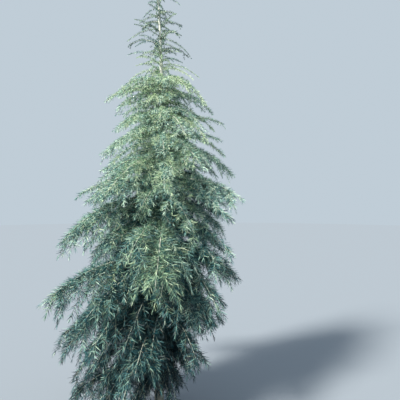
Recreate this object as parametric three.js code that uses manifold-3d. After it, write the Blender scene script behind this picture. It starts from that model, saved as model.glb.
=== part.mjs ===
// A young deodar cedar about three metres tall, rooted in level ground.
//
// Millimetres, +Z up. The origin is the centre of the flat cut under the trunk, at ground level.
// The front faces -Y, and +X is to the right as seen from the front.
//
// The trunk runs whole from the ground to the foot of its leading shoot. Boughs stand round it
// on a golden-angle spiral. Each bough is one tapering limb, and a mass of foliage goes on from
// its tip: a stem, the twigs that branch from it and the toothed sprays of needles on them.
// Boughs, stems, twigs and sprays all follow one rule, the Limb curve below.
import * as THREE from "three";
import { mergeVertices } from "three/addons/utils/BufferGeometryUtils.js";
import Module from "manifold-3d";

const wasm = await Module();
wasm.setup();

const { lerp, clamp, degToRad } = THREE.MathUtils;
const GOLDEN_ANGLE = Math.PI * (3 - Math.sqrt(5));

// The gap between two solids that meet face to face
const CLEARANCE = 0.3;

// Trunk: a tapering column with a slight sway and a lobed flare at the root.
// Its rings stand closer together near the ground, by ringPower.
const TRUNK = { top: 2790, radius: 29, tipRadius: 4, taper: 0.9, sides: 11, steps: 18, ringPower: 1.5 };
const SWAY = { x: 26, y: 14, power: 1.5 };
const FLARE = { out: 15, height: 62, lobes: 5, lobeShare: 0.3, turn: 0.7 };

// Leading shoot, which carries on from the trunk and nods to the left
const LEADER = { heading: Math.PI, reach: 84, rise: 6.6, sag: 2.7, radius: 3.2 };
const LEADER_STEM = { from: -0.002, sides: 4 };
const LEADER_SPRAYS = { count: 4, first: 0.08, last: 0.8, reach: 42, rise: 1.5, sag: 0.2, halfWidth: 9 };

// Boughs, from the lowest to the highest. The crown's outline gives their reach at each height.
const BOUGH_COUNT = 24;
const BOUGH_HEIGHTS = { low: 395, high: 2350 };
const BOUGH_TURN = 3.49;
const BOUGH_SLOPE = { lowRise: 0.34, highRise: 0.55, lowSag: 0.56, highSag: 0.89 };
const BOUGH_RADIUS = { thin: 5.5, thick: 10.5, thickReach: 700, tipShare: 0.5 };
const BOUGH_COLLAR = { swell: 0.45, length: 0.12 };
const BOUGH_WOOD = { end: 0.24, sides: 5, steps: 4 };
const BOUGH_JITTER = { height: 18, heading: 0.16, reach: 0.09, rise: 0.06, sag: 0.14, turn: 0.16 };
const CROWN_OUTLINE = [
  { height: 350, reach: 370 },
  { height: 620, reach: 510 },
  { height: 950, reach: 667 },
  { height: 1300, reach: 700 },
  { height: 1850, reach: 504 },
  { height: 2450, reach: 264 },
];

// Below this height the crown leans out to the left of the front view, away from its neighbour
const LEAN = { below: 1700, share: 0.53 };

// Short shoots on the trunk, above the boughs
const TOP_SHOOT_COUNT = 10;
const TOP_SHOOT_HEIGHTS = { low: 2470, high: 2765 };
const TOP_SHOOT_REACH = { low: 235, high: 95 };
const TOP_SHOOT = { rise: 0.75, sag: 0.85, radius: 3.2 };
const TOP_SHOOT_JITTER = { heading: 0.2, reach: 0.16, rise: 0.12, sag: 0.12, turn: 0.2 };

// The stem that carries on a limb through its mass
const STEM = { end: 0.84, tipShare: 0.45, sides: 3, steps: 4 };

// Twigs, set by turns on the two sides of a stem: more of them on a longer limb.
// One that would not lie clear is tried again at these shares of its reach.
const TWIG_COUNTS = [
  { reach: 600, twigs: 8 },
  { reach: 440, twigs: 7 },
  { reach: 300, twigs: 5 },
  { reach: 0, twigs: 2 },
];
const TWIG = { first: 0.05, last: 0.82, angle: 56, reachShare: 0.4, taper: 0.52, slope: 0.55 };
const TWIG_TRIES = [1, 0.7];
const TWIG_JITTER = { angle: 9, reach: 0.14, sag: 0.12 };
const TWIG_WOOD = { end: 0.32, radius: 3.2, tipRadius: 2, sides: 3, steps: 1 };

// Twigs hang more in the lower part of the crown
const TWIG_SAG = { low: 1.33, high: 0.75, from: 600, to: 2100 };

// Sprays of needles: toothed blades, as wide as two needles are long
const SPRAY = { stalk: 2.1, ridge: 2.3, notchShare: 0.4, root: 0.03, roll: 42 };
const TOOTH = { first: 0.85, last: 0.5, undercut: 0.01, widths: [0.86, 1, 0.8] };
const LONG_TEETH = 3;
const SHORT_TEETH = 2;
const SIDE_SPRAY = { at: 0.26, angle: 50, reachShare: 0.66, leastTwig: 120, slope: 0.6, sag: 0.8 };

// Needles are shorter towards the top of the tree
const SPRAY_HALF_WIDTH = { low: 44, high: 22, from: 1500, to: 2700 };

// Each mass keeps to its own space, this far from the next, from the wood and from the ground
const GAP = { space: 5, spray: 24, wood: 4, ground: 25 };
const SPACE_STEPS = 26;
const WOOD_STEPS = 12;
const PROBE = { steps: 8, freeSteps: 2 };

// Materials
const BARK = new THREE.MeshStandardMaterial({ color: 0x7d6f63, roughness: 0.9, metalness: 0 });
const BOUGH_BARK = new THREE.MeshStandardMaterial({ color: 0x9a8a78, roughness: 0.85, metalness: 0 });
const NEEDLES = new THREE.MeshStandardMaterial({ color: 0x78917f, roughness: 0.6, metalness: 0 });

// Seeded numbers: the same keys always give the same number from 0 to 1
const SEED = { start: 4.23, steps: [12.9898, 78.233, 37.719, 4.581], scale: 43758.5453 };

function chance(...keys) {
  const mixed = keys.reduce((sum, key, i) => sum + (key + 1) * SEED.steps[i], SEED.start);
  const scaled = Math.sin(mixed) * SEED.scale;
  return scaled - Math.floor(scaled);
}

const jitter = (amount, ...keys) => (2 * chance(...keys) - 1) * amount;

// How far a value lies between two others, from 0 to 1
const shareOf = (value, from, to) => clamp((value - from) / (to - from), 0, 1);

// A parabola that leaves its root at a slope and bends down under its own weight.
// reach is how far it goes level with the ground, and rise and sag are shares of that reach.
class Limb extends THREE.Curve {
  constructor({ root, heading, reach, rise, sag, turn = 0, radius = TWIG_WOOD.radius }) {
    super();
    Object.assign(this, { root, heading, reach, rise, sag, turn, radius });
  }

  headingAt(share) {
    return this.heading + this.turn * share;
  }

  slopeAt(share) {
    return this.rise - 2 * this.sag * share;
  }

  getPoint(share, target = new THREE.Vector3()) {
    const heading = this.headingAt(share);
    const out = this.reach * share;
    return target.set(
      this.root.x + out * Math.cos(heading),
      this.root.y + out * Math.sin(heading),
      this.root.z + out * (this.rise - this.sag * share),
    );
  }

  // A point on the limb with the directions along it, across it and out of its top
  frameAt(share) {
    const heading = this.headingAt(share);
    const along = new THREE.Vector3(Math.cos(heading), Math.sin(heading), this.slopeAt(share)).normalize();
    const across = new THREE.Vector3(-Math.sin(heading), Math.cos(heading), 0);
    const above = new THREE.Vector3().crossVectors(along, across);
    return { point: this.getPoint(share), along, across, above };
  }
}

// A closed three.js geometry as a solid that can be joined and cut
function toSolid(geometry) {
  geometry.deleteAttribute("normal");
  geometry.deleteAttribute("uv");
  const merged = mergeVertices(geometry);
  return new wasm.Manifold(
    new wasm.Mesh({
      numProp: 3,
      vertProperties: new Float32Array(merged.getAttribute("position").array),
      triVerts: new Uint32Array(merged.index.array),
    }),
  );
}

// The largest body of a solid as a three.js geometry: scraps and sealed hollows are left behind
function toGeometry(solid) {
  const bodies = solid.decompose().sort((a, b) => b.volume() - a.volume());
  const { numProp, numVert, vertProperties, triVerts } = bodies[0].getMesh();
  const positions = new Float32Array(numVert * 3);
  for (let i = 0; i < numVert; i++) {
    positions.set(vertProperties.subarray(i * numProp, i * numProp + 3), i * 3);
  }
  return new THREE.BufferGeometry()
    .setAttribute("position", new THREE.BufferAttribute(positions, 3))
    .setIndex(new THREE.BufferAttribute(triVerts, 1));
}

// A closed cylinder of unit radius whose points are moved by place(x, share, z)
function mouldedCylinder(sides, steps, place) {
  const geometry = new THREE.CylinderGeometry(1, 1, 1, sides, steps);
  const positions = geometry.getAttribute("position");
  for (let i = 0; i < positions.count; i++) {
    const moved = place(positions.getX(i), positions.getY(i) + 0.5, positions.getZ(i));
    positions.setXYZ(i, moved.x, moved.y, moved.z);
  }
  return toSolid(geometry);
}

// A tapering tube along a limb, from one share of it to another
function tube(limb, from, to, radiusAt, { sides, steps }) {
  return mouldedCylinder(sides, steps, (x, share, z) => {
    const { point, across, above } = limb.frameAt(lerp(from, to, share));
    const radius = radiusAt(share);
    return point.addScaledVector(above, x * radius).addScaledVector(across, z * radius);
  });
}

// The middle of the trunk at a height
function trunkAxis(height) {
  const bend = Math.sin(Math.PI * shareOf(height, 0, TRUNK.top) ** SWAY.power);
  return new THREE.Vector3(SWAY.x * bend, SWAY.y * bend, height);
}

// The trunk's radius at a height, without its root flare
function trunkRadius(height) {
  const left = 1 - shareOf(height, 0, TRUNK.top);
  return lerp(TRUNK.tipRadius, TRUNK.radius, left ** TRUNK.taper);
}

// The trunk, made larger by extra at its side and top. Its rings stay level and its foot is flat.
function trunkSolid(extra = 0) {
  return mouldedCylinder(TRUNK.sides, TRUNK.steps, (x, share, z) => {
    const height = TRUNK.top * share ** TRUNK.ringPower;
    const lobe = 1 + FLARE.lobeShare * Math.cos(FLARE.lobes * Math.atan2(x, z) + FLARE.turn);
    const radius = trunkRadius(height) + FLARE.out * lobe * Math.exp(-height / FLARE.height) + extra;
    const raised = share === 1 ? extra : 0;
    return trunkAxis(height).add(new THREE.Vector3(z * radius, x * radius, raised));
  });
}

// How far the crown reaches from the trunk at a bough's height and heading
function crownReach(height, heading) {
  const above = CROWN_OUTLINE.findIndex((corner) => corner.height > height);
  const [low, high] = CROWN_OUTLINE.slice(above - 1, above + 1);
  const lean = LEAN.share * (1 - shareOf(height, 0, LEAN.below));
  return lerp(low.reach, high.reach, shareOf(height, low.height, high.height)) * (1 - lean * Math.cos(heading));
}

// The whole run of bough number i, from the trunk to the tip of its foliage
function boughLimb(i) {
  const share = i / (BOUGH_COUNT - 1);
  const height = lerp(BOUGH_HEIGHTS.low, BOUGH_HEIGHTS.high, share) + jitter(BOUGH_JITTER.height, i, 0);
  const heading = BOUGH_TURN + i * GOLDEN_ANGLE + jitter(BOUGH_JITTER.heading, i, 1);
  const reach = crownReach(height, heading) * (1 + jitter(BOUGH_JITTER.reach, i, 2));
  const thickness = shareOf(reach, 0, BOUGH_RADIUS.thickReach);
  return new Limb({
    root: trunkAxis(height),
    heading,
    reach,
    rise: lerp(BOUGH_SLOPE.lowRise, BOUGH_SLOPE.highRise, share ** 2) + jitter(BOUGH_JITTER.rise, i, 3),
    sag: lerp(BOUGH_SLOPE.lowSag, BOUGH_SLOPE.highSag, share) + jitter(BOUGH_JITTER.sag, i, 4),
    turn: jitter(BOUGH_JITTER.turn, i, 5),
    radius: lerp(BOUGH_RADIUS.thin, BOUGH_RADIUS.thick, thickness),
  });
}

// Short shoot number i, at the top of the trunk. It goes on with the boughs' spiral.
function topShootLimb(i) {
  const share = i / (TOP_SHOOT_COUNT - 1);
  const number = BOUGH_COUNT + i;
  const reach = lerp(TOP_SHOOT_REACH.low, TOP_SHOOT_REACH.high, share);
  return new Limb({
    root: trunkAxis(lerp(TOP_SHOOT_HEIGHTS.low, TOP_SHOOT_HEIGHTS.high, share)),
    heading: BOUGH_TURN + number * GOLDEN_ANGLE + jitter(TOP_SHOOT_JITTER.heading, number, 1),
    reach: reach * (1 + jitter(TOP_SHOOT_JITTER.reach, number, 2)),
    rise: TOP_SHOOT.rise + jitter(TOP_SHOOT_JITTER.rise, number, 3),
    sag: TOP_SHOOT.sag + jitter(TOP_SHOOT_JITTER.sag, number, 4),
    turn: jitter(TOP_SHOOT_JITTER.turn, number, 5),
    radius: TOP_SHOOT.radius,
  });
}

// The bare part of a bough, from inside the trunk to where its foliage begins
function boughWood(limb) {
  const radiusAt = (share) => {
    const collar = 1 + BOUGH_COLLAR.swell * Math.exp(-share / BOUGH_COLLAR.length);
    return limb.radius * lerp(1, BOUGH_RADIUS.tipShare, share) * collar;
  };
  return tube(limb, 0, BOUGH_WOOD.end, radiusAt, BOUGH_WOOD);
}

// How wide a spray is to each side at a height
function sprayHalfWidth(height) {
  const { low, high, from, to } = SPRAY_HALF_WIDTH;
  return lerp(low, high, shareOf(height, from, to));
}

// The outline of a spray on one side, as shares of its length and width: tooth, notch, tooth
function toothOutline(teeth) {
  const outline = [];
  for (let k = 0; k < teeth; k++) {
    const tip = (k + TOOTH.first) / (teeth - 1 + TOOTH.first + TOOTH.last);
    outline.push({ along: tip, out: TOOTH.widths[k] });
    if (k < teeth - 1) outline.push({ along: tip - TOOTH.undercut, out: SPRAY.notchShare });
  }
  return outline;
}

// A spray of needles: a toothed blade along a limb, thickest at its ridge, on a short square stalk
function spray(limb, from, halfWidth, teeth, roll) {
  const points = [];
  const addPoint = (share, out, up) => {
    const { point, across, above } = limb.frameAt(lerp(from, 1, share));
    const side = across.clone().multiplyScalar(Math.cos(roll)).addScaledVector(above, Math.sin(roll));
    const face = above.clone().multiplyScalar(Math.cos(roll)).addScaledVector(across, -Math.sin(roll));
    point.addScaledVector(side, out).addScaledVector(face, up);
    return points.push(point.x, point.y, point.z) / 3 - 1;
  };
  const outline = toothOutline(teeth);
  const notches = outline.filter((_, i) => i % 2 === 1);
  const tip = addPoint(1, 0, 0);
  const ridges = [1, -1].map((face) => [
    addPoint(0, 0, face * SPRAY.stalk),
    ...notches.map(({ along }) => addPoint(along, 0, face * SPRAY.ridge)),
    tip,
  ]);
  const edges = [1, -1].map((side) => [
    addPoint(0, side * SPRAY.stalk, 0),
    ...outline.map(({ along, out }) => addPoint(along, side * out * halfWidth, 0)),
  ]);
  const triangles = [ridges[0][0], edges[0][0], ridges[1][0], ridges[0][0], ridges[1][0], edges[1][0]];
  ridges.forEach((ridge, face) =>
    edges.forEach((edge, side) => {
      const add = (a, b, c) => triangles.push(...(face === side ? [a, b, c] : [a, c, b]));
      for (let k = 0; k < teeth; k++) {
        const [before, tooth, after] = [edge[2 * k], edge[2 * k + 1], edge[2 * k + 2]];
        add(ridge[k], tooth, before);
        add(ridge[k], ridge[k + 1], tooth);
        if (after !== undefined) add(ridge[k + 1], after, tooth);
      }
    }),
  );
  const geometry = new THREE.BufferGeometry()
    .setAttribute("position", new THREE.Float32BufferAttribute(points, 3))
    .setIndex(triangles);
  return toSolid(geometry);
}

// Points in rows across a spray, to test where it would lie
function sprayProbes(limb, from, halfWidth, roll) {
  const rows = [];
  for (let step = 1; step <= PROBE.steps; step++) {
    const { point, across, above } = limb.frameAt(lerp(from, 1, step / PROBE.steps));
    const side = across.multiplyScalar(Math.cos(roll)).addScaledVector(above, Math.sin(roll));
    rows.push([-1, 0, 1].map((out) => point.clone().addScaledVector(side, out * halfWidth)));
  }
  return rows;
}

// Every limb of the tree
const boughs = Array.from({ length: BOUGH_COUNT }, (_, i) => boughLimb(i));
const topShoots = Array.from({ length: TOP_SHOOT_COUNT }, (_, i) => topShootLimb(i));
const leader = new Limb({ ...LEADER, root: trunkAxis(TRUNK.top) });

// The crown is shared out among the limbs: a place belongs to the limb that is nearest to it.
// The first marks are left out, as all the limbs are close together at the trunk.
const spaceMarks = [...boughs, ...topShoots, leader].flatMap((limb) =>
  Array.from({ length: SPACE_STEPS }, (_, k) => ({ limb, point: limb.getPoint((k + 2) / (SPACE_STEPS + 1)) })),
);

function inOwnSpace(limb, point) {
  let own = Infinity;
  let other = Infinity;
  for (const mark of spaceMarks) {
    const distance = mark.point.distanceTo(point);
    if (mark.limb === limb) own = Math.min(own, distance);
    else other = Math.min(other, distance);
  }
  return own + GAP.space < other;
}

function clearOfTrunk(point) {
  const axis = trunkAxis(point.z);
  return Math.hypot(point.x - axis.x, point.y - axis.y) > trunkRadius(point.z) + GAP.wood;
}

const woodMarks = boughs.flatMap((limb) =>
  Array.from({ length: WOOD_STEPS + 1 }, (_, k) => ({
    point: limb.getPoint((BOUGH_WOOD.end * k) / WOOD_STEPS),
    radius: limb.radius * (1 + BOUGH_COLLAR.swell),
  })),
);

const clearOfBoughs = (point) =>
  woodMarks.every((mark) => mark.point.distanceTo(point) > mark.radius + GAP.wood);

const isClear = (limb, point) =>
  point.z > GAP.ground && clearOfTrunk(point) && clearOfBoughs(point) && inOwnSpace(limb, point);

// A twig that leaves a parent limb at a share of its run, to the side that its last key gives
function sideTwig(parent, share, { angle, reach, slope, sag }, keys) {
  const side = keys[keys.length - 1] % 2 ? 1 : -1;
  return new Limb({
    root: parent.getPoint(share),
    heading: parent.headingAt(share) + side * degToRad(angle + jitter(TWIG_JITTER.angle, ...keys)),
    reach: reach * (1 + jitter(TWIG_JITTER.reach, ...keys, 1)),
    rise: parent.slopeAt(share) * slope,
    sag: sag + jitter(TWIG_JITTER.sag, ...keys, 2),
  });
}

// The parts of one mass: its stem, its twigs and their sprays, as far as each stays in its space
function massParts(limb, from, number) {
  const rollOf = (...keys) => degToRad(jitter(SPRAY.roll, number, ...keys));
  const stemRadius = (share) => limb.radius * BOUGH_RADIUS.tipShare * lerp(1, STEM.tipShare, share);
  const twigRadius = (share) => lerp(TWIG_WOOD.radius, TWIG_WOOD.tipRadius, share);
  const tipHalfWidth = sprayHalfWidth(limb.root.z);
  const parts = [
    tube(limb, from, STEM.end, stemRadius, STEM),
    spray(limb, STEM.end - SPRAY.root, tipHalfWidth, LONG_TEETH, rollOf(7)),
  ];
  const taken = [];
  const addSpray = (twig, start, teeth, roll) => {
    const halfWidth = sprayHalfWidth(twig.root.z);
    const rows = sprayProbes(twig, Math.max(start, 0), halfWidth, roll);
    const outer = rows.slice(PROBE.freeSteps).flat();
    const crowded = outer.some((point) => taken.some((other) => point.distanceTo(other) < GAP.spray));
    if (crowded || !rows.flat().every((point) => isClear(limb, point))) return false;
    taken.push(...rows.flat());
    parts.push(spray(twig, start, halfWidth, teeth, roll));
    return true;
  };
  const { twigs } = TWIG_COUNTS.find((row) => limb.reach >= row.reach);
  for (let k = 0; k < twigs; k++) {
    const place = k / (twigs - 1);
    const share = lerp(from + TWIG.first, TWIG.last, place);
    const reach = limb.reach * TWIG.reachShare * (1 - TWIG.taper * place);
    const sag = lerp(TWIG_SAG.low, TWIG_SAG.high, shareOf(limb.root.z, TWIG_SAG.from, TWIG_SAG.to));
    const twig = TWIG_TRIES.map((size) =>
      sideTwig(limb, share, { ...TWIG, reach: reach * size, sag }, [number, k]),
    ).find((tried) => addSpray(tried, TWIG_WOOD.end - SPRAY.root, LONG_TEETH, rollOf(k, 3)));
    if (!twig) continue;
    parts.push(tube(twig, 0, TWIG_WOOD.end, twigRadius, TWIG_WOOD));
    if (twig.reach < SIDE_SPRAY.leastTwig) continue;
    const sideRun = { ...SIDE_SPRAY, reach: twig.reach * SIDE_SPRAY.reachShare };
    addSpray(sideTwig(twig, SIDE_SPRAY.at, sideRun, [number, k, 0]), -SPRAY.root, SHORT_TEETH, rollOf(k, 5));
  }
  return parts;
}

// The leading shoot's parts: its stem, its tip and the short sprays that stand up round it
function leaderParts(limb) {
  const { count, first, last, halfWidth, ...run } = LEADER_SPRAYS;
  const parts = [
    tube(limb, LEADER_STEM.from, STEM.end, () => limb.radius, { ...STEM, ...LEADER_STEM }),
    spray(limb, STEM.end - SPRAY.root, SPRAY_HALF_WIDTH.high, LONG_TEETH, 0),
  ];
  for (let k = 0; k < count; k++) {
    const root = limb.getPoint(lerp(first, last, k / (count - 1)));
    const side = new Limb({ ...run, root, heading: k * GOLDEN_ANGLE });
    parts.push(spray(side, -SPRAY.root, halfWidth, SHORT_TEETH, 0));
  }
  return parts;
}

const join = (parts) => parts.reduce((whole, part) => whole.add(part));

const twoDigits = (i) => String(i + 1).padStart(2, "0");

// The finished tree
const tree = new THREE.Group();
tree.name = "cedar_tree";

function addNode(name, solid, material) {
  const mesh = new THREE.Mesh(toGeometry(solid), material);
  mesh.name = name;
  tree.add(mesh);
}

const trunkAndGap = trunkSolid(CLEARANCE);
addNode("trunk", trunkSolid(), BARK);
boughs.forEach((limb, i) => {
  const foliageFrom = BOUGH_WOOD.end + CLEARANCE / limb.getLength();
  addNode(`bough_${twoDigits(i)}`, boughWood(limb).subtract(trunkAndGap), BOUGH_BARK);
  addNode(`foliage_${twoDigits(i)}`, join(massParts(limb, foliageFrom, i)), NEEDLES);
});
topShoots.forEach((limb, i) => {
  const parts = massParts(limb, 0, BOUGH_COUNT + i);
  addNode(`top_shoot_${twoDigits(i)}`, join(parts).subtract(trunkAndGap), NEEDLES);
});
addNode("leader", join(leaderParts(leader)).subtract(trunkAndGap), NEEDLES);

export default tree;
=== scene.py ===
"""A young deodar cedar, dressed in bark, twigs and needles on the limbs of its frame.

The limbs follow the same rule as the solids: each is a parabola that leaves its root at a slope and
bends down under its own weight. Here the rule is carried on to finer twigs and single needles.
Everything is in metres, +Z up, and the front faces -Y.
"""
import math

import bpy
import numpy as np
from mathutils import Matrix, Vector, noise


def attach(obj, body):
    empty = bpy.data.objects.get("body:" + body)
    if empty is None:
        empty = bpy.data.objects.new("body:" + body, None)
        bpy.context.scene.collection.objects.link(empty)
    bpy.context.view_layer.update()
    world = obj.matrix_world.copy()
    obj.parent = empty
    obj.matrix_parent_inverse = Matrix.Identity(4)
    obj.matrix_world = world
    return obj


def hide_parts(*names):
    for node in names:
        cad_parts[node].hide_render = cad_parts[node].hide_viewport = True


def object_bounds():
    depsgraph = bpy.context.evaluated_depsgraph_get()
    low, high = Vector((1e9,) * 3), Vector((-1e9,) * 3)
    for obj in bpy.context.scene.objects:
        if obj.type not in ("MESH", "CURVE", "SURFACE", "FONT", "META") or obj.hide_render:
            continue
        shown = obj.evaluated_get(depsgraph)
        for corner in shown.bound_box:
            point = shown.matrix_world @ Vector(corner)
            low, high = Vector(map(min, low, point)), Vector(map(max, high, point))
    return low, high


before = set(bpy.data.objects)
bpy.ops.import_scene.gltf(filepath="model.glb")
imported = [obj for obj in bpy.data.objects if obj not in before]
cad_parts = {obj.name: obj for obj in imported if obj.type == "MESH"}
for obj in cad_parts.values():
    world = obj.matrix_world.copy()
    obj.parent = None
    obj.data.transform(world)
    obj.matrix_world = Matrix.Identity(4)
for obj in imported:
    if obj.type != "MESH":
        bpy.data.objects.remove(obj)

CAD_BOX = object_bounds()
GOLDEN_ANGLE = math.pi * (3 - math.sqrt(5))
LEAST_LENGTH = 1e-9

# Trunk: its height, taper and sway, the lobed flare at its foot, and rings that lie closer low down
TRUNK_TOP = 2.79
TRUNK_RADIUS = 0.029
TRUNK_TIP_RADIUS = 0.004
TRUNK_TAPER = 0.9
SWAY = (0.026, 0.014)
SWAY_POWER = 1.5
FLARE_OUT = 0.015
FLARE_HEIGHT = 0.062
FLARE_LOBES = 5
FLARE_LOBE_SHARE = 0.3
FLARE_TURN = 0.7
TRUNK_TUBE = dict(rings=420, sides=40)
RING_POWER = 1.15

# The trunk's bark in relief. The noise's numbers are its fall, its step, its layers, its offset and its gain.
BARK_THICK = 0.0025
CRACKS_AROUND = 2.6
CRACKS_ALONG = 24
CRACK_NOISE = (1.0, 2.0, 3, 0.9, 2.0)
CRACK_LEVEL = 1.2
CRACK_STEEPNESS = 0.5
CRACK_DEPTH = 0.045

# Boughs, from the lowest to the highest, and the crown's reach at each height
BOUGH_COUNT = 24
BOUGH_HEIGHTS = (0.395, 2.35)
BOUGH_TURN = 3.49
BOUGH_RISE = (0.34, 0.55)
BOUGH_SAG = (0.56, 0.89)
BOUGH_RADIUS = (0.0055, 0.0105)
BOUGH_THICK_REACH = 0.7
BOUGH_TIP_SHARE = 0.5
COLLAR_SWELL = 0.45
COLLAR_LENGTH = 0.12
BOUGH_WOOD_END = 0.24
STEM_TIP_SHARE = 0.22
BOUGH_JITTER = dict(height=0.018, heading=0.16, reach=0.09, rise=0.06, sag=0.14, turn=0.16)
CROWN_HEIGHTS = (0.35, 0.62, 0.95, 1.3, 1.85, 2.45, 2.8)
CROWN_REACHES = (0.37, 0.51, 0.667, 0.7, 0.504, 0.264, 0.1)
LEAN_BELOW = 1.7
LEAN_SHARE = 0.53

# Short shoots at the top of the trunk, and the leading shoot
TOP_SHOOT_COUNT = 10
TOP_SHOOT_HEIGHTS = (2.47, 2.765)
TOP_SHOOT_REACH = (0.235, 0.095)
TOP_SHOOT = dict(
    rise=0.75,
    sag=0.85,
    radius=0.0032,
    jitters=dict(heading=0.2, reach=0.16, rise=0.12, sag=0.12, turn=0.2),
)
LEADER = dict(heading=math.pi, reach=0.084, rise=6.6, sag=2.7, turn=0, radius=0.0032)

# Lesser boughs between the main ones, and low ones among them that hang as a skirt
LESSER = dict(count=300, first=100, heights=(0.28, 2.31), gather=0.82, turn=5.86, reach_share=(0.35, 0.95))
SKIRT = dict(count=26, first=420, heights=(0.34, 0.82), gather=1, turn=6.01, reach_share=(0.55, 0.95))
LESSER_WIDER = 0.14
LESSER_WIDER_HEIGHTS = (1.8, 2.2)
LESSER_RISE = (0.34, 0.6)
LESSER_RISE_POWER = 2.4
LESSER_SAG_HEIGHTS = (0.3, 0.9, 1.5, 2.4)
LESSER_SAG = (1.0, 0.72, 0.6, 0.78)
LESSER_RADIUS = (0.0024, 0.005)
LESSER_RADIUS_REACHES = (0.1, 0.55)
LESSER_JITTER = dict(height=0.02, heading=0.3, rise=0.14, sag=0.2, turn=0.2)

# Short shoots straight on the trunk
TRUNK_SHOOT_COUNT = 190
TRUNK_SHOOT_FIRST = 500
TRUNK_SHOOT_HEIGHTS = (0.3, 2.5)
TRUNK_SHOOT_REACH = (0.2, 0.09)
TRUNK_SHOOT = dict(
    rise=0.9,
    sag=0.8,
    radius=0.0015,
    jitters=dict(heading=0.5, reach=0.4, rise=0.4, sag=0.3, turn=0),
)

# Slim brushes that stand out nearly level from the spire and the leading shoot
SPIRE_COUNT = 66
SPIRE_FIRST = 700
SPIRE_HEIGHTS = (2.36, 3.07)
SPIRE_TURN = 0.8
SPIRE_REACH = (0.19, 0.045)
SPIRE_BRUSH = dict(
    rise=0.34,
    sag=0.4,
    radius=0.0018,
    jitters=dict(heading=0.4, reach=0.4, rise=0.3, sag=0.2, turn=0),
)

# The solids' own twigs: their number by the limb's reach, and their rule
TWIG_COUNTS = ((0.6, 8), (0.44, 7), (0.3, 5), (0, 2))
TWIG_FIRST = 0.05
TWIG_LAST = 0.82
TWIG_ANGLE = 56
TWIG_REACH_SHARE = 0.4
TWIG_TAPER = 0.52
TWIG_SLOPE = 0.55
TWIG_SAG = (1.33, 0.75)
TWIG_SAG_HEIGHTS = (0.6, 2.1)
TWIG_RADIUS = (0.0022, 0.0013)
TWIG_JITTER = dict(angle=9, reach=0.14, sag=0.12)
TWIG_KEYS = dict(reach=1, sag=2)

# The finer twigs between them, which reach forward more and hang less
FILL_FIRST = 0.07
FILL_LAST = 0.88
FILL_SPACING_HEIGHTS = (1.4, 1.8, 2.35, 2.4, 2.46)
FILL_SPACING = (0.042, 0.025, 0.025, 0.042, 0.084)
FILL_LEAST_COUNT = 3
FILL_KEY = 50
FILL_SIZE_KEY = 8
FILL_ANGLE = (54, 36)
FILL_REACH_SHARE = 0.3
FILL_TAPER = 0.42
FILL_SLOPE = 0.75
FILL_SAG = (0.8, 0.2)
FILL_SIZE = (0.6, 1.05)
FILL_RADIUS = (0.0018, 0.0011)

# The shoots on the twigs
FINE_SPACING = 0.06
FINE_FIRST = 0.06
FINE_LAST = 0.72
FINE_ANGLE = 42
FINE_REACH_SHARE = 0.56
FINE_TAPER = 0.6
FINE_LEAST_REACH = 0.04
FINE_SLOPE = 0.8
FINE_SAG = 0.35
FINE_RADIUS = 0.0009

# The wood's tubes: the share of a limb that they cover, and how thin they get towards its tip
BOUGH_TUBE = dict(end=0.97, rings=48, sides=9)
LESSER_TUBE = dict(end=0.97, rings=12, sides=5)
TWIG_TUBE = dict(end=0.95, rings=5, sides=3)
FINE_TUBE = dict(end=0.95, rings=3, sides=3)
LESSER_TIP_SHARE = 0.3
TWIG_TIP_SHARE = 0.4
FINE_TIP_SHARE = 0.5

# How far the tips of twigs and needles may pass the solids' box, and how low they may hang
TWIG_PAST_BOX = 0.005
TWIG_GROUND_GAP = 0.03
NEEDLE_PAST_BOX = 0.02
NEEDLE_GROUND_GAP = 0.006

# The key of each value that chance moves in a limb
LIMB_KEYS = dict(height=0, heading=1, reach=2, rise=3, sag=4, turn=5)

# The nodes that needles take the place of, in the order of their limbs, and how many limbs have twigs
NODE_NAMES = (
    [f"foliage_{i + 1:02d}" for i in range(BOUGH_COUNT)]
    + [f"top_shoot_{i + 1:02d}" for i in range(TOP_SHOOT_COUNT)]
    + ["leader"]
)
MAIN_COUNT = len(NODE_NAMES)
TWIGGED_COUNT = MAIN_COUNT + LESSER["count"] + SKIRT["count"]

# Needles: their length by the height at which the shoot starts, their width, twist and droop
NEEDLE_HEIGHTS = (1.3, 1.7, 2.0, 2.35, 2.42)
NEEDLE_LENGTHS = (0.047, 0.032, 0.021, 0.02, 0.0135)
NEEDLE_WIDTH = 0.0028
NEEDLE_WIDTH_BY_LENGTH = 0.016
NEEDLE_TIP_WIDTH = 0.3
NEEDLE_TWIST = 0.9
NEEDLE_DROOP = 0.05

# Whorls of needles round a shoot. Towards its tip they lean forward more and are shorter.
WHORL = 5
WHORL_LEAST_COUNT = 3
WHORL_PLACES = (0.3, 0.7)
WHORL_TURN = 0.4
WHORL_HEIGHT = 0.006
NEEDLE_SHIFT = 0.3
TIP_FROM = 0.65
NEEDLE_LEAN = (56, 15)
NEEDLE_LEAN_SPREAD = 6
NEEDLE_SIZES = (0.75, 1.05)
NEEDLE_TIP_SIZE = 0.6
NEEDLE_SEAT = 0.6

# The length of shoot for each needle, and the share of a shoot at its root that has none
LIMB_SPACING = 0.0025
SPIRE_SPACING = 0.0015
TWIG_SPACING = 0.0026
FINE_NEEDLE_SPACING = 0.0028
OLD_WOOD_BARE = 0.12
LIMB_BARE = 0.05
TWIG_BARE = 0.05
FINE_BARE = 0.04

# Starbursts of needles on the older wood, which is that of the main and the lesser boughs
ROSETTE_PLACES = (0.04, 0.8)
ROSETTE_SPACING = 0.016
ROSETTE_LEAST_COUNT = 2
ROSETTE_NEEDLES = 14
ROSETTE_TURN = 0.6
ROSETTE_FORWARD = 0.3
ROSETTE_LEAN = (20, 78)
ROSETTE_SIZES = (0.55, 0.8)
ROSETTE_DEPTH = (-0.6, 0.9)
BUD_OUT = 0.002

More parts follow.
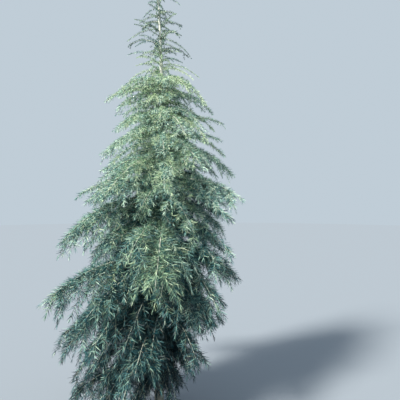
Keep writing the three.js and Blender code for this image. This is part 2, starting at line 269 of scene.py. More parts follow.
# Each piece of needles is a band of the crown, given by the heights at which its limbs leave the trunk
BANDS = (0, 0.72, 0.99, 1.2, 1.42, 1.72, 2.1, 4)

# Tints of needles from the palest to the deepest, and the first of them again in a warmer green, which paints
# sunlight
TINTS = dict(
    pale=(196, 216, 196),
    light=(174, 201, 178),
    soft=(149, 186, 168),
    middle=(112, 154, 146),
    blue=(74, 121, 124),
    deep=(28, 85, 90),
    dark=(6, 42, 48),
)
WARM_TINTS = dict(
    pale=(200, 217, 182),
    light=(180, 202, 163),
    soft=(156, 186, 152),
    middle=(121, 155, 129),
    deep=(84, 122, 106),
)

# How deep a shoot's tint is by its height, counted in tints, and how much paler outward and on the trunk.
# The depths are painted shade and light: deep low down as if the skirt were shaded, paler up the crown as if
# lit, deep again on the spire as if seen dark against the light, and deeper inward, partly older needles and
# partly painted shade.
DEPTH_HEIGHTS = (0.3, 0.8, 1.1, 1.5, 1.8, 2.3, 2.55)
DEPTHS = (9.6, 7.7, 6.0, 4.2, 2.7, 1.8, 5.6)
GREATEST_DEPTH = 11
SHOOT_MIDDLE = 0.6
PALER_OUTWARD = (3.0, 0.4)
PALER_OUTWARD_HEIGHTS = (0.6, 2.0)
PALER_ON_TRUNK = 1.4

# How far depths spread by shoot, by whorl and by needle, and how many whorls near the tip are paler
SHOOT_SPREAD = (0.5, 0.3)
SHOOT_SPREAD_HEIGHTS = (1.4, 1.9)
WHORL_SPREAD = 0.6
NEEDLE_SPREAD = 1.7
PALE_TIP = 1
PALE_TIP_FROM = 0.1
PALE_TIP_SHARE = 0.15

# Some needles catch the light: their share by height, and how many tints paler they are
GLINT_HEIGHTS = (0.4, 1.0, 1.6, 2.0)
GLINT_SHARES = (0.07, 0.15, 0.14, 0.06)
GLINT = 2

# A shoot's green is warmer where its draw is under a level, given in line with the trunk and at the sides.
# This is painted sunlight: seen from the front, the middle of the crown is warmer as if sunlit and the sides
# cooler as if shaded.
WARM_LEVELS = (0.6, 0.1)
WARM_ASIDE = (0.05, 0.36)
WARM_HEIGHTS = (0.5, 1.0)
WARM_BY_SHOOT = 0.65
WARM_KEYS = (6, 3)

# Needles' gloss and roughness, and the scale of the patches of bloom on them
NEEDLE_GLOSS = 0.5
NEEDLE_ROUGHNESS = (0.36, 0.6)
BLOOM_SCALE = 90

# Bark: its dark and light patches, their scale and bump, and the old bark over them low on the trunk
TRUNK_BARK = dict(dark=(166, 168, 156), light=(236, 238, 226), scale=260, bump=0.8, old=(156, 152, 145))
BOUGH_BARK = dict(dark=(146, 150, 136), light=(214, 220, 206), scale=420, bump=0.4)
TWIG_BARK = dict(dark=(142, 154, 130), light=(198, 208, 184), scale=500, bump=0.2)
OLD_BARK_HEIGHTS = (0.3, 2.2)
BARK_STRETCH = (1, 1, 0.3)
BARK_DETAIL = 8
BARK_PATCHES = (0.32, 0.68)
BARK_BUMP_DISTANCE = 0.002
BARK_ROUGHNESS = 0.85

# Floor, lights and camera
FLOOR_RADIUS = 24
FLOOR_SIDES = 96
FLOOR_COLOUR = (0.264, 0.295, 0.335, 1)
SKY_COLOUR = (0.75, 0.87, 0.97, 1)
SKY_STRENGTH = 0.7
SUN_STRENGTH = 7.2
SUN_WIDTH = math.radians(12)
SUN_COLOUR = (1, 0.965, 0.88)
SUN_DIRECTION = (6.4, 6, -7)
LENS = 36
SENSOR_WIDTH = 36
CAMERA_PLACE = (0.277, -2.7, 1.5)
CAMERA_TURN = (math.pi / 2, 0, 0)

# Seeded numbers by the source's rule: the same keys always give the same number
SEED = 4.23
SEED_STEPS = (12.9898, 78.233, 37.719, 4.581)
SEED_SCALE = 43758.5453

# Seeded draws: their order decides what each needle gets
draws = np.random.default_rng(20)
warm_draws = np.random.default_rng(21)


def chance(*keys):
    mixed = SEED + sum((np.asarray(key, float) + 1) * step for key, step in zip(keys, SEED_STEPS))
    scaled = np.sin(mixed) * SEED_SCALE
    return scaled - np.floor(scaled)


def jitter(amount, *keys):
    return (2 * chance(*keys) - 1) * amount


def limb_jitters(amounts, number):
    """How far chance moves each value of the limbs with these numbers."""
    return {name: jitter(amount, number, LIMB_KEYS[name]) for name, amount in amounts.items()}


def lerp(a, b, share):
    return a + (b - a) * share


def share_of(value, start, end):
    """How far a value lies between two others, from 0 to 1."""
    return np.clip((value - start) / (end - start), 0, 1)


def smooth(share):
    return share * share * (3 - 2 * share)


def unit(vectors):
    return vectors / np.maximum(np.linalg.norm(vectors, axis=-1, keepdims=True), LEAST_LENGTH)


def column(values):
    """One number for each vector, in the shape that multiplies them."""
    return values[:, None]


def repeat_index(counts):
    """For each copy of each thing: which thing it belongs to, and its number among that thing's copies."""
    owner = np.repeat(np.arange(len(counts)), counts)
    first = np.cumsum(counts) - counts
    return owner, np.arange(len(owner)) - first[owner]


class Limbs:
    """Many limbs at once, each with its root, heading, reach, rise, sag, turn and radius."""

    def __init__(self, root, heading, reach, rise, sag, turn, radius):
        count = len(root)
        self.root = np.asarray(root, float)
        parts = (heading, reach, rise, sag, turn, radius)
        parts = [np.broadcast_to(np.asarray(part, float), (count,)) for part in parts]
        self.heading, self.reach, self.rise, self.sag, self.turn, self.radius = parts

    def __len__(self):
        return len(self.root)

    def values(self):
        return self.root, self.heading, self.reach, self.rise, self.sag, self.turn, self.radius

    def take(self, index):
        return Limbs(*(part[index] for part in self.values()))

    def heading_at(self, share):
        return self.heading + self.turn * share

    def slope_at(self, share):
        return self.rise - 2 * self.sag * share

    def point(self, share):
        heading = self.heading_at(share)
        out = self.reach * share
        rise = self.rise - self.sag * share
        return self.root + np.stack([out * np.cos(heading), out * np.sin(heading), out * rise], axis=-1)

    def frame(self, share):
        """The directions along each limb, across it and out of its top."""
        heading = self.heading_at(share)
        along = unit(np.stack([np.cos(heading), np.sin(heading), self.slope_at(share)], axis=-1))
        across = np.stack([-np.sin(heading), np.cos(heading), np.zeros_like(heading)], axis=-1)
        return along, across, np.cross(along, across)

    def length(self, steps=6):
        shares = np.linspace(0, 1, steps)
        points = np.stack([self.point(share) for share in shares], axis=1)
        return np.linalg.norm(np.diff(points, axis=1), axis=-1).sum(axis=1)


def join_limbs(groups):
    return Limbs(*(np.concatenate(parts) for parts in zip(*(group.values() for group in groups))))


def trunk_axis(height):
    height = np.asarray(height, float)
    bend = np.sin(math.pi * share_of(height, 0, TRUNK_TOP) ** SWAY_POWER)
    return np.stack([SWAY[0] * bend, SWAY[1] * bend, height], axis=-1)


def trunk_radius(height):
    left = 1 - share_of(height, 0, TRUNK_TOP)
    return lerp(TRUNK_TIP_RADIUS, TRUNK_RADIUS, left ** TRUNK_TAPER)


def crown_reach(height, heading):
    lean = LEAN_SHARE * (1 - share_of(height, 0, LEAN_BELOW))
    return np.interp(height, CROWN_HEIGHTS, CROWN_REACHES) * (1 - lean * np.cos(heading))


def bough_limbs():
    number = np.arange(BOUGH_COUNT)
    share = number / (BOUGH_COUNT - 1)
    moved = limb_jitters(BOUGH_JITTER, number)
    height = lerp(*BOUGH_HEIGHTS, share) + moved["height"]
    heading = BOUGH_TURN + number * GOLDEN_ANGLE + moved["heading"]
    reach = crown_reach(height, heading) * (1 + moved["reach"])
    rise = lerp(*BOUGH_RISE, share ** 2) + moved["rise"]
    sag = lerp(*BOUGH_SAG, share) + moved["sag"]
    radius = lerp(*BOUGH_RADIUS, share_of(reach, 0, BOUGH_THICK_REACH))
    return Limbs(trunk_axis(height), heading, reach, rise, sag, moved["turn"], radius)


def lesser_limbs(count, first, heights, gather, turn, reach_share):
    order = np.arange(count)
    number = first + order
    moved = limb_jitters(LESSER_JITTER, number)
    height = lerp(*heights, (order / (count - 1)) ** gather) + moved["height"]
    heading = turn + order * GOLDEN_ANGLE + moved["heading"]
    wider = LESSER_WIDER * share_of(height, *LESSER_WIDER_HEIGHTS)
    reach = crown_reach(height, heading) * (lerp(*reach_share, chance(number, LIMB_KEYS["reach"])) + wider)
    rise = lerp(*LESSER_RISE, share_of(height, *LESSER["heights"]) ** LESSER_RISE_POWER) + moved["rise"]
    sag = np.interp(height, LESSER_SAG_HEIGHTS, LESSER_SAG) + moved["sag"]
    radius = lerp(*LESSER_RADIUS, share_of(reach, *LESSER_RADIUS_REACHES))
    return Limbs(trunk_axis(height), heading, reach, rise, sag, moved["turn"], radius)


def short_limbs(root, number, heading, reach, rise, sag, radius, jitters):
    """Short shoots, each with its values moved by chance."""
    moved = limb_jitters(jitters, number)
    heading = heading + moved["heading"]
    reach = reach * (1 + moved["reach"])
    rise = rise + moved["rise"]
    sag = sag + moved["sag"]
    return Limbs(root, heading, reach, rise, sag, moved["turn"], radius)


def top_shoot_limbs():
    order = np.arange(TOP_SHOOT_COUNT)
    share = order / (TOP_SHOOT_COUNT - 1)
    number = BOUGH_COUNT + order
    root = trunk_axis(lerp(*TOP_SHOOT_HEIGHTS, share))
    heading = BOUGH_TURN + number * GOLDEN_ANGLE
    return short_limbs(root, number, heading, lerp(*TOP_SHOOT_REACH, share), **TOP_SHOOT)


def trunk_shoot_limbs():
    order = np.arange(TRUNK_SHOOT_COUNT)
    share = order / (TRUNK_SHOOT_COUNT - 1)
    number = TRUNK_SHOOT_FIRST + order
    root = trunk_axis(lerp(*TRUNK_SHOOT_HEIGHTS, share))
    return short_limbs(root, number, order * GOLDEN_ANGLE, lerp(*TRUNK_SHOOT_REACH, share), **TRUNK_SHOOT)


def spire_limbs(leader):
    """Brushes on the upper trunk, and above it on the leading shoot."""
    order = np.arange(SPIRE_COUNT)
    share = order / (SPIRE_COUNT - 1)
    number = SPIRE_FIRST + order
    height = lerp(*SPIRE_HEIGHTS, share)
    root = trunk_axis(np.minimum(height, TRUNK_TOP))
    above = np.flatnonzero(height > TRUNK_TOP)
    on_leader = leader.take(np.zeros(len(above), int))
    root[above] = on_leader.point((height[above] - TRUNK_TOP) / (leader.reach[0] * leader.rise[0]))
    heading = SPIRE_TURN + order * GOLDEN_ANGLE
    return short_limbs(root, number, heading, lerp(*SPIRE_REACH, share ** 2), **SPIRE_BRUSH)


def side_twigs(parents, share, angle, reach, slope, sag, radius, keys):
    """Twigs that leave their parents at a share of the run, to the side that the last key gives."""
    side = np.where(np.asarray(keys[-1]) % 2 == 1, 1, -1)
    return Limbs(
        root=parents.point(share),
        heading=parents.heading_at(share) + side * np.radians(angle + jitter(TWIG_JITTER["angle"], *keys)),
        reach=reach * (1 + jitter(TWIG_JITTER["reach"], *keys, TWIG_KEYS["reach"])),
        rise=parents.slope_at(share) * slope,
        sag=sag + jitter(TWIG_JITTER["sag"], *keys, TWIG_KEYS["sag"]),
        turn=0,
        radius=radius,
    )


def twig_sag(parents, sags):
    return lerp(*sags, share_of(parents.root[:, 2], *TWIG_SAG_HEIGHTS))


def solid_twigs(limbs, numbers):
    """The twigs that the solids' sprays sit on, at their places. On boughs they start past the bare wood."""
    counts = np.select([limbs.reach >= reach for reach, _ in TWIG_COUNTS], [n for _, n in TWIG_COUNTS])
    owner, order = repeat_index(counts)
    parents = limbs.take(owner)
    place = order / (counts[owner] - 1)
    wood_end = np.where(owner < BOUGH_COUNT, BOUGH_WOOD_END, 0)
    share = lerp(wood_end + TWIG_FIRST, TWIG_LAST, place)
    reach = parents.reach * TWIG_REACH_SHARE * (1 - TWIG_TAPER * place)
    sag = twig_sag(parents, TWIG_SAG)
    radius = lerp(*TWIG_RADIUS, place)
    keys = (numbers[owner], order)
    return side_twigs(parents, share, TWIG_ANGLE, reach, TWIG_SLOPE, sag, radius, keys), owner, order


def fill_twigs(limbs, numbers):
    """The finer twigs between those of the solids, and on the bare wood and the lesser boughs too."""
    spacing = np.interp(limbs.root[:, 2], FILL_SPACING_HEIGHTS, FILL_SPACING)
    counts = (limbs.length() * (FILL_LAST - FILL_FIRST) / spacing).astype(int)
    counts = np.maximum(counts, FILL_LEAST_COUNT)
    owner, order = repeat_index(counts)
    parents = limbs.take(owner)
    place = order / (counts[owner] - 1)
    share = lerp(FILL_FIRST, FILL_LAST, place)
    angle = lerp(*FILL_ANGLE, place)
    size = lerp(*FILL_SIZE, chance(numbers[owner], order, FILL_SIZE_KEY))
    reach = parents.reach * FILL_REACH_SHARE * (1 - FILL_TAPER * place) * size
    sag = twig_sag(parents, FILL_SAG)
    radius = lerp(*FILL_RADIUS, place)
    keys = (numbers[owner], FILL_KEY + order)
    return side_twigs(parents, share, angle, reach, FILL_SLOPE, sag, radius, keys), owner, FILL_KEY + order


def fine_twigs(twigs, numbers, twig_keys):
    """The shoots on the twigs."""
    counts = (twigs.length() * (FINE_LAST - FINE_FIRST) / FINE_SPACING).astype(int)
    owner, order = repeat_index(counts)
    parents = twigs.take(owner)
    place = (order + 0.5) / counts[owner]
    share = lerp(FINE_FIRST, FINE_LAST, place)
    reach = parents.reach * FINE_REACH_SHARE * (1 - FINE_TAPER * place)
    reach = np.maximum(reach, FINE_LEAST_REACH)
    keys = (numbers[owner], twig_keys[owner], order)
    return side_twigs(parents, share, FINE_ANGLE, reach, FINE_SLOPE, FINE_SAG, FINE_RADIUS, keys), owner


def within(points, past_box, ground_gap):
    """Which points pass the solids' box by no more than this, and hang no lower than the gap."""
    low, high = np.array(CAD_BOX[0]) - past_box, np.array(CAD_BOX[1]) + past_box
    low[2] = ground_gap
    return ((points > low) & (points < high)).all(axis=1)


def make_mesh(name, vertices, triangles, materials, material_index=None, smooth_faces=True):
    """A mesh object from arrays of points and triangles."""
    mesh = bpy.data.meshes.new(name)
    mesh.vertices.add(len(vertices))
    mesh.vertices.foreach_set("co", np.ascontiguousarray(vertices, dtype=np.float32).ravel())
    mesh.loops.add(triangles.size)
    mesh.loops.foreach_set("vertex_index", np.ascontiguousarray(triangles, dtype=np.int32).ravel())
    mesh.polygons.add(len(triangles))
    mesh.polygons.foreach_set("loop_start", np.arange(0, triangles.size, 3, dtype=np.int32))
    for material in materials:
        mesh.materials.append(material)
    if material_index is not None:
        mesh.polygons.foreach_set("material_index", np.ascontiguousarray(material_index, dtype=np.int32))
    mesh.polygons.foreach_set("use_smooth", np.full(len(triangles), smooth_faces))
    mesh.update(calc_edges=True)
    mesh.validate()
    piece = bpy.data.objects.new(name, mesh)
    bpy.context.scene.collection.objects.link(piece)
    return piece


def tube_triangles(count, rings, sides):
    """The triangles of tubes whose points are numbered tube by tube and ring by ring, tip closed."""
    tube = np.arange(count)[:, None, None] * rings * sides
    ring = np.arange(rings - 1)[None, :, None] * sides
    side = np.arange(sides)[None, None, :]
    here = tube + ring + side
    beside = tube + ring + (side + 1) % sides
    walls = np.concatenate([
        np.stack([here, beside, beside + sides], axis=-1).reshape(-1, 3),
        np.stack([here, beside + sides, here + sides], axis=-1).reshape(-1, 3),
    ])
    last = (np.arange(count) * rings + rings - 1)[:, None] * sides
    fan = np.arange(1, sides - 1)[None, :]
    caps = np.stack([last + 0 * fan, last + fan, last + fan + 1], axis=-1).reshape(-1, 3)
    return np.concatenate([walls, caps])


def tubes_along(limbs, radius_at, end, rings, sides):
    """Tapering tubes along limbs. radius_at gives the limbs' radii at a share of their run."""
    layers = []
    turn = np.arange(sides) * 2 * math.pi / sides
    for share in np.linspace(0, end, rings):
        _, across, above = limbs.frame(share)
        rim = np.cos(turn)[None, :, None] * above[:, None] + np.sin(turn)[None, :, None] * across[:, None]
        layers.append(limbs.point(share)[:, None] + rim * radius_at(limbs, share)[:, None, None])
    points = np.stack(layers, axis=1).reshape(-1, 3)
    return points, tube_triangles(len(limbs), rings, sides)


def even_taper(tip_share):
    """Radii that fall evenly from root to tip, where this share of them is left."""
    return lambda limbs, share: limbs.radius * lerp(1, tip_share, share)


def bough_radii(limbs, share):
    """A collar at the trunk, then an even taper into the stem."""
    wood = min(share / BOUGH_WOOD_END, 1)
    stem = max(share - BOUGH_WOOD_END, 0) / (1 - BOUGH_WOOD_END)
    collar = 1 + COLLAR_SWELL * math.exp(-wood / COLLAR_LENGTH)
    return limbs.radius * lerp(1, BOUGH_TIP_SHARE, wood) * collar * lerp(1, STEM_TIP_SHARE, stem)


def trunk_points(rings, sides):
    """The trunk's rings with the flare of the solid trunk and the bark's cracks and bumps."""
    heights = TRUNK_TOP * np.linspace(0, 1, rings) ** RING_POWER
    turn = np.arange(sides) * 2 * math.pi / sides
    height, angle = np.meshgrid(heights, turn, indexing="ij")
    lobe = 1 + FLARE_LOBE_SHARE * np.cos(FLARE_LOBES * angle + FLARE_TURN)
    radius = trunk_radius(height) + BARK_THICK + FLARE_OUT * lobe * np.exp(-height / FLARE_HEIGHT)
    relief = np.empty_like(radius)
    for index, (up, around) in enumerate(zip(height.ravel(), angle.ravel())):
        place = (math.cos(around) * CRACKS_AROUND, math.sin(around) * CRACKS_AROUND, up * CRACKS_ALONG)
        cracks = noise.ridged_multi_fractal(Vector(place), *CRACK_NOISE)
        relief.flat[index] = CRACK_STEEPNESS * (CRACK_LEVEL - cracks)
    radius += radius * CRACK_DEPTH * np.clip(relief, -1, 1)
    points = trunk_axis(height)
    points[..., 0] += radius * np.cos(angle)
    points[..., 1] += radius * np.sin(angle)
    return points.reshape(-1, 3)


def shoot_depths(shoots, limb):
    """How deep the tint of each shoot is: deepest low down and deep again on the spire, which is painted
    shade, and paler outward, where the deeper inside is partly older needles and partly painted shade.

    It may be more than the number of the deepest tint. Paler needles are then rarer on that shoot.
    """
    middle = shoots.point(SHOOT_MIDDLE)
    height = middle[:, 2]
    axis = trunk_axis(height)
    out = np.hypot(middle[:, 0] - axis[:, 0], middle[:, 1] - axis[:, 1])
    outward = np.clip(out / crown_reach(height, np.arctan2(middle[:, 1], middle[:, 0])), 0, 1)
    # Painted shade and light: deep low down and on the spire, paler up the crown
    depth = np.interp(height, DEPTH_HEIGHTS, DEPTHS)
    # Paler outward: the deeper inside is painted shade, and partly older needles
    depth -= lerp(*PALER_OUTWARD, share_of(height, *PALER_OUTWARD_HEIGHTS)) * smooth(outward)
    depth -= np.where(limb >= TWIGGED_COUNT, PALER_ON_TRUNK, 0)
    depth += draws.normal(0, 1, len(shoots)) * lerp(*SHOOT_SPREAD, share_of(height, *SHOOT_SPREAD_HEIGHTS))
    return np.clip(np.round(depth), 0, GREATEST_DEPTH).astype(int)


def sunlit_warm_shoots(shoots, limb_numbers):
    """Which shoots are of a warmer green, which paints sunlight on the middle of the crown as seen from the
    front. The draw is partly the limb's, so its shoots tend to agree.
    """
    middle = shoots.point(SHOOT_MIDDLE)
    aside = np.abs(middle[:, 0] - trunk_axis(middle[:, 2])[:, 0])
    # Painted sunlight: warm shoots gather in line with the trunk as seen from the front, cooler ones at the
    # sides
    level = lerp(*WARM_LEVELS, smooth(share_of(aside, *WARM_ASIDE))) * share_of(middle[:, 2], *WARM_HEIGHTS)
    by_limb = chance(limb_numbers, *WARM_KEYS)
    by_shoot = warm_draws.random(len(shoots))
    return lerp(by_limb, by_shoot, WARM_BY_SHOOT) < level


def tint_numbers(depth, warm):
    """The numbers of needles' materials, by how deep their tints are and whether their shoots are warm."""
    number = np.clip(np.round(depth), 0, len(TINTS) - 1).astype(int)
    return np.where(warm & (number < len(WARM_TINTS)), number + len(TINTS), number)


def needles_on(limbs, bare, spacing, length, depth, warm):
    """Needles in whorls round the limbs: their roots, directions, lengths, tints and outward sides."""
    counts = (limbs.length() * (1 - bare) / (spacing * WHORL)).astype(int)
    counts = np.maximum(counts, WHORL_LEAST_COUNT)
    owner, order = repeat_index(counts)
    place = (order + draws.uniform(*WHORL_PLACES, len(order))) / counts[owner]
    place = lerp(bare[owner], 1.0, place)
    near_tip = smooth(share_of(place, TIP_FROM, 1.0))
    pale_tip = (near_tip > PALE_TIP_FROM) & (draws.random(len(order)) < PALE_TIP_SHARE)
    whorl_depth = depth[owner] - np.where(pale_tip, PALE_TIP, 0) + draws.normal(0, WHORL_SPREAD, len(order))
    turn = order * GOLDEN_ANGLE + draws.uniform(-WHORL_TURN, WHORL_TURN, len(order))

    whorl = np.repeat(np.arange(len(order)), WHORL)
    count = len(whorl)
    parents = limbs.take(owner[whorl])
    near_tip = near_tip[whorl]
    around = np.tile(np.arange(WHORL) * 2 * math.pi / WHORL, len(order)) + turn[whorl]
    around += draws.uniform(-NEEDLE_SHIFT, NEEDLE_SHIFT, count)
    share = place[whorl] + draws.uniform(-NEEDLE_SHIFT, NEEDLE_SHIFT, count) * WHORL_HEIGHT / parents.reach
    along, across, above = parents.frame(share)
    out = column(np.cos(around)) * above + column(np.sin(around)) * across
    lean = np.radians(lerp(*NEEDLE_LEAN, near_tip) + draws.normal(0, NEEDLE_LEAN_SPREAD, count))
    direction = unit(along * column(np.cos(lean)) + out * column(np.sin(lean)))
    size = length[owner][whorl] * lerp(1.0, NEEDLE_TIP_SIZE, near_tip) * draws.uniform(*NEEDLE_SIZES, count)
    root = parents.point(share) + out * column(parents.radius) * NEEDLE_SEAT
    glints = draws.random(count) < np.interp(root[:, 2], GLINT_HEIGHTS, GLINT_SHARES)
    own_depth = whorl_depth[whorl] + draws.normal(0, NEEDLE_SPREAD, count) - np.where(glints, GLINT, 0)
    return root, direction, size, tint_numbers(own_depth, warm[owner][whorl]), out


def rosettes_on(limbs, length, depth, warm):
    """Starbursts of needles, each round a bud that stands out from the limb."""
    start, end = ROSETTE_PLACES
    counts = (limbs.length() * (end - start) / ROSETTE_SPACING).astype(int)
    counts = np.maximum(counts, ROSETTE_LEAST_COUNT)
    owner, order = repeat_index(counts)
    parents = limbs.take(owner)
    share = lerp(start, end, (order + draws.random(len(order))) / counts[owner])
    along, across, above = parents.frame(share)
    turn = order * GOLDEN_ANGLE + draws.uniform(-ROSETTE_TURN, ROSETTE_TURN, len(order))
    bud = column(np.cos(turn)) * above + column(np.sin(turn)) * across
    bud = unit(bud + along * ROSETTE_FORWARD)
    root = parents.point(share) + bud * column(parents.radius + BUD_OUT)

    burst = np.repeat(np.arange(len(order)), ROSETTE_NEEDLES)
    count = len(burst)
    axis = bud[burst]
    side = unit(np.cross(axis, along[burst]))
    other = np.cross(axis, side)
    around = np.tile(np.arange(ROSETTE_NEEDLES), len(order)) * GOLDEN_ANGLE + turn[burst]
    lean = np.radians(draws.uniform(*ROSETTE_LEAN, count))
    out = column(np.cos(around)) * side + column(np.sin(around)) * other
    direction = unit(axis * column(np.cos(lean)) + out * column(np.sin(lean)))
    size = length[owner][burst] * draws.uniform(*ROSETTE_SIZES, count)
    own_depth = depth[owner][burst] + draws.normal(*ROSETTE_DEPTH, count)
    return root[burst], direction, size, tint_numbers(own_depth, warm[owner][burst]), out


def needle_blades(root, direction, size, out):
    """Each needle is a slim blade of two triangles, narrower at its tip than at its root."""
    side = unit(np.cross(direction, out) + draws.normal(0, NEEDLE_TWIST, direction.shape))
    side = unit(side - direction * np.sum(side * direction, axis=1, keepdims=True))
    half = side * column((size * NEEDLE_WIDTH_BY_LENGTH + NEEDLE_WIDTH) * 0.5)
    tip_half = half * NEEDLE_TIP_WIDTH
    tip = root + direction * column(size)
    tip[:, 2] -= size * NEEDLE_DROOP
    corners = (root - half, root + half, tip + tip_half, tip - tip_half)
    first = np.arange(len(root))[:, None, None] * len(corners)
    blade = np.array([[0, 1, 2], [0, 2, 3]])
    return np.stack(corners, axis=1).reshape(-1, 3), (first + blade).reshape(-1, 3)


def to_linear(colour):
    """An 8-bit sRGB colour as the linear values that a shader takes."""
    channels = [channel / 255 for channel in colour]
    return [c / 12.92 if c <= 0.04045 else ((c + 0.055) / 1.055) ** 2.4 for c in channels] + [1]


def node_material(name):
    material = bpy.data.materials.new(name)
    material.use_nodes = True
    return material, material.node_tree, material.node_tree.nodes["Principled BSDF"]


def set_inputs(tree, node, inputs):
    """Links what other nodes put out to the inputs with these names, and sets plain values on the others."""
    for name, value in inputs.items():
        if isinstance(value, bpy.types.NodeSocket):
            tree.links.new(value, node.inputs[name])
        else:
            node.inputs[name].default_value = value


def add_node(tree, kind, inputs, **settings):
    node = tree.nodes.new(kind)
    for name, setting in settings.items():
        setattr(node, name, setting)
    set_inputs(tree, node, inputs)
    return node


def needle_material(name, colour):
    """Waxy needles: a plain colour, with the bloom's patches in the roughness."""
    material, tree, shader = node_material(name)
    bloom = add_node(tree, "ShaderNodeTexNoise", {"Scale": BLOOM_SCALE})
    roughness = add_node(tree, "ShaderNodeMapRange", {
        "Value": bloom.outputs["Fac"],
        "To Min": NEEDLE_ROUGHNESS[0],
        "To Max": NEEDLE_ROUGHNESS[1],
    })
    set_inputs(tree, shader, {
        "Base Color": to_linear(colour),
        "Specular IOR Level": NEEDLE_GLOSS,
        "Roughness": roughness.outputs["Result"],
    })
    return material


def with_old_bark(tree, place, colour, old):
    """The colour with the old bark's over it, all of it below the lower height and none above the upper."""
    height = add_node(tree, "ShaderNodeSeparateXYZ", {"Vector": place})
    age = add_node(tree, "ShaderNodeMapRange", {
        "Value": height.outputs["Z"],
        "From Min": OLD_BARK_HEIGHTS[0],
        "From Max": OLD_BARK_HEIGHTS[1],
        "To Min": 1,
        "To Max": 0,
    })
    inputs = {"Factor": age.outputs["Result"], "A": colour, "B": to_linear(old)}
    tinted = add_node(tree, "ShaderNodeMix", inputs, data_type="RGBA", blend_type="MULTIPLY")
    return tinted.outputs["Result"]


def bark_material(name, dark, light, scale, bump, old=None):
    """Bark: patches between two colours, darker in the cracks. Old bark, if given, lies over it low down."""
    material, tree, shader = node_material(name)
    place = add_node(tree, "ShaderNodeTexCoord", {}).outputs["Object"]
    stretched = add_node(tree, "ShaderNodeMapping", {"Vector": place, "Scale": BARK_STRETCH})
    grain = add_node(tree, "ShaderNodeTexNoise", {
        "Vector": stretched.outputs["Vector"],
        "Scale": scale,
        "Detail": BARK_DETAIL,
    })
    patches = add_node(tree, "ShaderNodeValToRGB", {"Fac": grain.outputs["Fac"]})
    for element, position, colour in zip(patches.color_ramp.elements, BARK_PATCHES, (dark, light)):
        element.position = position
        element.color = to_linear(colour)
    bark_colour = patches.outputs["Color"]
    if old:
        bark_colour = with_old_bark(tree, place, bark_colour, old)
    relief = add_node(tree, "ShaderNodeBump", {
        "Height": grain.outputs["Fac"],
        "Strength": bump,
        "Distance": BARK_BUMP_DISTANCE,
    })
    set_inputs(tree, shader, {
        "Base Color": bark_colour,
        "Roughness": BARK_ROUGHNESS,
        "Normal": relief.outputs["Normal"],
    })
    return material


# Materials
bark = bark_material("bark", **TRUNK_BARK)
bough_bark = bark_material("bough_bark", **BOUGH_BARK)
twig_bark = bark_material("twig_bark", **TWIG_BARK)
needle_materials = [needle_material(f"needles_{name}", colour) for name, colour in TINTS.items()]
# Warmer copies of the tints, for painted sunlight
needle_materials += [needle_material(f"needles_warm_{name}", colour) for name, colour in WARM_TINTS.items()]

# All limbs in one row: the solids' own, the lesser boughs, then short shoots and brushes, which have no twigs
boughs = bough_limbs()
leader = Limbs(trunk_axis([TRUNK_TOP]), **LEADER)
lesser = join_limbs([lesser_limbs(**LESSER), lesser_limbs(**SKIRT)])
limbs = join_limbs([boughs, top_shoot_limbs(), leader, lesser, trunk_shoot_limbs(), spire_limbs(leader)])
numbers = np.concatenate([
    np.arange(MAIN_COUNT),
    LESSER["first"] + np.arange(LESSER["count"]),
    SKIRT["first"] + np.arange(SKIRT["count"]),
    TRUNK_SHOOT_FIRST + np.arange(TRUNK_SHOOT_COUNT),
    SPIRE_FIRST + np.arange(SPIRE_COUNT),
])

# Twigs and the shoots on them, each with the place of its limb in that row
solid, solid_limb, solid_keys = solid_twigs(limbs.take(np.arange(MAIN_COUNT - 1)), numbers)
fill, fill_limb, fill_keys = fill_twigs(limbs.take(np.arange(TWIGGED_COUNT)), numbers)
twigs = join_limbs([solid, fill])
twig_limb = np.concatenate([solid_limb, fill_limb])
fine, fine_twig = fine_twigs(twigs, numbers[twig_limb], np.concatenate([solid_keys, fill_keys]))
fine_limb = twig_limb[fine_twig]
kept_twigs = within(twigs.point(1.0), TWIG_PAST_BOX, TWIG_GROUND_GAP)
kept_fine = within(fine.point(1.0), TWIG_PAST_BOX, TWIG_GROUND_GAP)
twigs, twig_limb = twigs.take(kept_twigs), twig_limb[kept_twigs]
fine, fine_limb = fine.take(kept_fine), fine_limb[kept_fine]

# Trunk and boughs
trunk = make_mesh("trunk_bark", trunk_points(**TRUNK_TUBE), tube_triangles(1, **TRUNK_TUBE), [bark])
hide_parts("trunk")
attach(trunk, "root")

wood = make_mesh("bough_bark", *tubes_along(boughs, bough_radii, **BOUGH_TUBE), [bough_bark])
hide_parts(*[f"bough_{i + 1:02d}" for i in range(BOUGH_COUNT)])
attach(wood, "root")

# Everything that bears needles: the limbs themselves, then their twigs and the shoots on those
shoots = join_limbs([limbs, twigs, fine])
shoot_limb = np.concatenate([np.arange(len(limbs)), twig_limb, fine_limb])
old_wood = np.concatenate([np.arange(BOUGH_COUNT), np.arange(MAIN_COUNT, TWIGGED_COUNT)])
limb_bare = np.where(np.isin(np.arange(len(limbs)), old_wood), OLD_WOOD_BARE, LIMB_BARE)
bare = np.concatenate([limb_bare, np.full(len(twigs), TWIG_BARE), np.full(len(fine), FINE_BARE)])
limb_spacing = np.where(limbs.root[:, 2] > SPIRE_HEIGHTS[0], SPIRE_SPACING, LIMB_SPACING)
twig_spacing = np.full(len(twigs), TWIG_SPACING)
spacing = np.concatenate([limb_spacing, twig_spacing, np.full(len(fine), FINE_NEEDLE_SPACING)])
length = np.interp(shoots.root[:, 2], NEEDLE_HEIGHTS, NEEDLE_LENGTHS)
# Tints deeper low down, on the spire and inward: painted shade, inward partly older needles
depth = shoot_depths(shoots, shoot_limb)
# Warmer green down the middle of the crown seen from the front: painted sunlight
warm = sunlit_warm_shoots(shoots, numbers[shoot_limb])

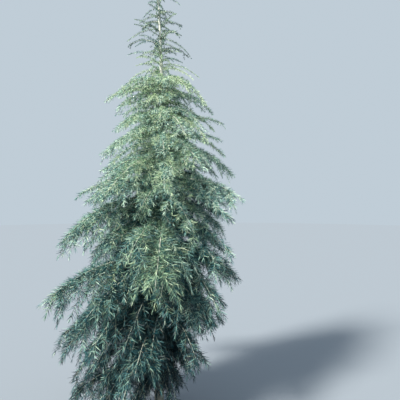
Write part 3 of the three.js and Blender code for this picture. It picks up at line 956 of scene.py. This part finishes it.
# Needles, band by band
for band, (low, high) in enumerate(zip(BANDS, BANDS[1:])):
    members = np.flatnonzero((limbs.root[:, 2] >= low) & (limbs.root[:, 2] < high))
    here = np.isin(shoot_limb, members)
    old = np.intersect1d(members, old_wood)
    whorls = needles_on(shoots.take(here), bare[here], spacing[here], length[here], depth[here], warm[here])
    rosettes = rosettes_on(limbs.take(old), length[old], depth[old], warm[old])
    root, direction, size, tint, out = [np.concatenate(pair) for pair in zip(whorls, rosettes)]
    good = within(root + direction * column(size), NEEDLE_PAST_BOX, NEEDLE_GROUND_GAP)
    blades = needle_blades(root[good], direction[good], size[good], out[good])
    face_tints = np.repeat(tint[good], 2)
    piece = make_mesh(f"needles_{band + 1}", *blades, needle_materials, face_tints, smooth_faces=False)
    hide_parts(*[NODE_NAMES[i] for i in members if i < MAIN_COUNT])
    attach(piece, "root")

# The wood of lesser boughs, short shoots and twigs
thinner = limbs.take(np.arange(BOUGH_COUNT, len(limbs)))
for name, (points, triangles), material in (
    ("lesser_boughs", tubes_along(thinner, even_taper(LESSER_TIP_SHARE), **LESSER_TUBE), bough_bark),
    ("twigs", tubes_along(twigs, even_taper(TWIG_TIP_SHARE), **TWIG_TUBE), twig_bark),
    ("fine_twigs", tubes_along(fine, even_taper(FINE_TIP_SHARE), **FINE_TUBE), twig_bark),
):
    piece = make_mesh(name, points, triangles, [material])
    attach(piece, "root")

# Floor
bpy.ops.mesh.primitive_circle_add(
    vertices=FLOOR_SIDES, radius=FLOOR_RADIUS, fill_type="NGON", location=(0, 0, 0)
)
floor = bpy.context.object
floor.name = "floor"
floor_material, floor_tree, floor_shader = node_material("floor")
set_inputs(floor_tree, floor_shader, {"Base Color": FLOOR_COLOUR, "Roughness": 1, "Specular IOR Level": 0})
floor.data.materials.append(floor_material)

# Sky
world = bpy.data.worlds.new("studio")
bpy.context.scene.world = world
world.use_nodes = True
sky = world.node_tree.nodes["Background"]
set_inputs(world.node_tree, sky, {"Color": SKY_COLOUR, "Strength": SKY_STRENGTH})

# Sun
sun = bpy.data.lights.new("key", "SUN")
sun.energy = SUN_STRENGTH
sun.angle = SUN_WIDTH
sun.color = SUN_COLOUR
key = bpy.data.objects.new("key", sun)
key.rotation_euler = Vector(SUN_DIRECTION).to_track_quat("-Z", "Y").to_euler()
bpy.context.scene.collection.objects.link(key)

# Camera
camera = bpy.data.cameras.new("camera")
camera.lens = LENS
camera.sensor_width = SENSOR_WIDTH
eye = bpy.data.objects.new("camera", camera)
eye.location = CAMERA_PLACE
eye.rotation_euler = CAMERA_TURN
bpy.context.scene.collection.objects.link(eye)
bpy.context.scene.camera = eye
bpy.context.scene.view_settings.view_transform = "Standard"
